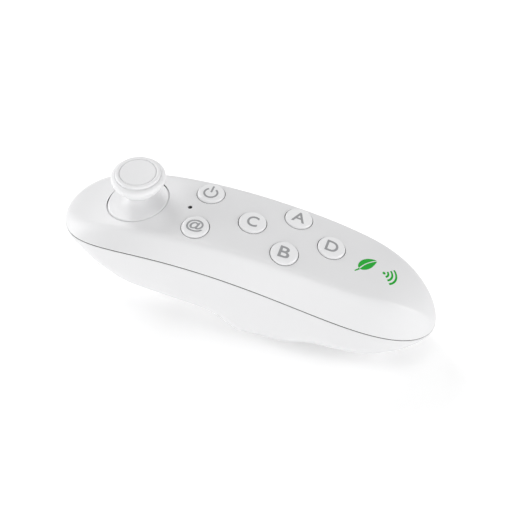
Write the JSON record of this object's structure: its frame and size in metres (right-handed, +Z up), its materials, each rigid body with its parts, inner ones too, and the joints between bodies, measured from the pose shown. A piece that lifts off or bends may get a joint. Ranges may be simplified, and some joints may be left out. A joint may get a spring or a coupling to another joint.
{
  "type": "vr motion controller",
  "caption": "Boat-shaped one-hand wireless VR controller with a thumb stick, round face keys, index triggers and a battery door under a finger bump.",
  "frame": {"origin": "centre of the bounding box on the rest plane, under the finger bump's flat", "axes": "+X along the body towards the rounded rear end, the stick end at -X; +Y across the body; +Z up, out of the key face"},
  "size_m": [0.136, 0.04, 0.0547],
  "materials": {
    "white_shell": "satin",
    "white_key": "satin",
    "pale_grey_pad": "satin",
    "dark_lens": "gloss",
    "white_trigger": "satin",
    "circuit_board": "satin",
    "black_plastic": "matt",
    "tan_resin": "matt",
    "grey_plastic": "matt",
    "tray_plastic": "matt",
    "cell_jacket": "gloss",
    "wire_red": "satin",
    "wire_black": "satin",
    "led_body": "gloss",
    "steel": "satin"
  },
  "bodies": {
    "case": {"upper_shell": "white_shell", "lower_shell": "white_shell", "tact_switches": "black_plastic", "led_lens": "dark_lens", "led_chip": "led_body", "main_board": "circuit_board", "radio_chip": "black_plastic", "crystal": "steel", "capacitors": "tan_resin", "stick_housing": "grey_plastic", "potentiometer_x": "tan_resin", "potentiometer_y": "tan_resin", "upper_trigger_pin": "steel", "lower_trigger_pin": "steel", "trigger_switches": "black_plastic", "battery_tray": "tray_plastic", "cell_near": "cell_jacket", "cell_far": "cell_jacket", "contact_link": "steel", "contact_positive": "steel", "contact_negative": "steel", "wire_red": "wire_red", "wire_black": "wire_black", "case_screws": "steel", "board_screws": "steel", "tray_screws": "steel"},
    "key_power": {"key_power": "white_key", "plunger_power": "grey_plastic"},
    "key_at_sign": {"key_at_sign": "white_key", "plunger_at_sign": "grey_plastic"},
    "key_c": {"key_c": "white_key", "plunger_c": "grey_plastic"},
    "key_a": {"key_a": "white_key", "plunger_a": "grey_plastic"},
    "key_b": {"key_b": "white_key", "plunger_b": "grey_plastic"},
    "key_d": {"key_d": "white_key", "plunger_d": "grey_plastic"},
    "gimbal_ring": {"gimbal_ring": "grey_plastic"},
    "stick": {"stick_shaft": "steel", "stick_cap": "white_key", "stick_pad": "pale_grey_pad", "stick_skirt": "white_key"},
    "gimbal_arc": {"gimbal_arc": "grey_plastic"},
    "upper_trigger": {"upper_trigger": "white_trigger"},
    "lower_trigger": {"lower_trigger": "white_trigger"},
    "battery_door": {"battery_door": "white_shell"}
  },
  "joints": [
    {"name": "key_power_press", "type": "slide", "parent": "case", "child": "key_power", "axis": [0.0026, -0.0629, -0.998], "range_m": [0, 0.0007], "stiffness_N_per_m": 800, "springref_m": -0.0003},
    {"name": "key_at_sign_press", "type": "slide", "parent": "case", "child": "key_at_sign", "axis": [0.0026, 0.0629, -0.998], "range_m": [0, 0.0007], "stiffness_N_per_m": 800, "springref_m": -0.0003},
    {"name": "key_c_press", "type": "slide", "parent": "case", "child": "key_c", "axis": [-0.0963, 0, -0.9953], "range_m": [0, 0.0007], "stiffness_N_per_m": 800, "springref_m": -0.0003},
    {"name": "key_a_press", "type": "slide", "parent": "case", "child": "key_a", "axis": [-0.1629, -0.0801, -0.9834], "range_m": [0, 0.0007], "stiffness_N_per_m": 800, "springref_m": -0.0003},
    {"name": "key_b_press", "type": "slide", "parent": "case", "child": "key_b", "axis": [-0.1629, 0.0801, -0.9834], "range_m": [0, 0.0007], "stiffness_N_per_m": 800, "springref_m": -0.0003},
    {"name": "key_d_press", "type": "slide", "parent": "case", "child": "key_d", "axis": [-0.2155, -0.0091, -0.9765], "range_m": [0, 0.0007], "stiffness_N_per_m": 800, "springref_m": -0.0003},
    {"name": "stick_tilt_lengthwise", "type": "hinge", "parent": "case", "child": "gimbal_ring", "pos_m": [-0.04007, 0, 0.03392], "axis": [0, 1, 0], "range_deg": [-12, 12], "stiffness_Nm_per_rad": 0.02},
    {"name": "stick_tilt_sideways", "type": "hinge", "parent": "gimbal_ring", "child": "stick", "pos_m": [-0.04007, 0, 0.03392], "axis": [1, 0, 0], "range_deg": [-12, 12], "stiffness_Nm_per_rad": 0.02},
    {"name": "arc_turn", "type": "hinge", "parent": "case", "child": "gimbal_arc", "pos_m": [-0.04007, 0, 0.03392], "axis": [1, 0, 0], "range_deg": [-12, 12]},
    {"name": "upper_trigger_pull", "type": "hinge", "parent": "case", "child": "upper_trigger", "pos_m": [-0.0575, 0, 0.031], "axis": [0, -1, 0], "range_deg": [0, 4], "stiffness_Nm_per_rad": 0.08, "springref_deg": -2.86},
    {"name": "lower_trigger_pull", "type": "hinge", "parent": "case", "child": "lower_trigger", "pos_m": [-0.0456, 0, 0.02033], "axis": [0, 1, 0], "range_deg": [0, 4], "stiffness_Nm_per_rad": 0.08, "springref_deg": -2.86},
    {"name": "battery_door_lift_off", "type": "slide", "parent": "case", "child": "battery_door", "axis": [0, 0, -1], "range_m": [0, 0.02]}
  ],
  "couplings": [
    {"joint": "arc_turn", "follows": "stick_tilt_sideways", "ratio": 1}
  ]
}
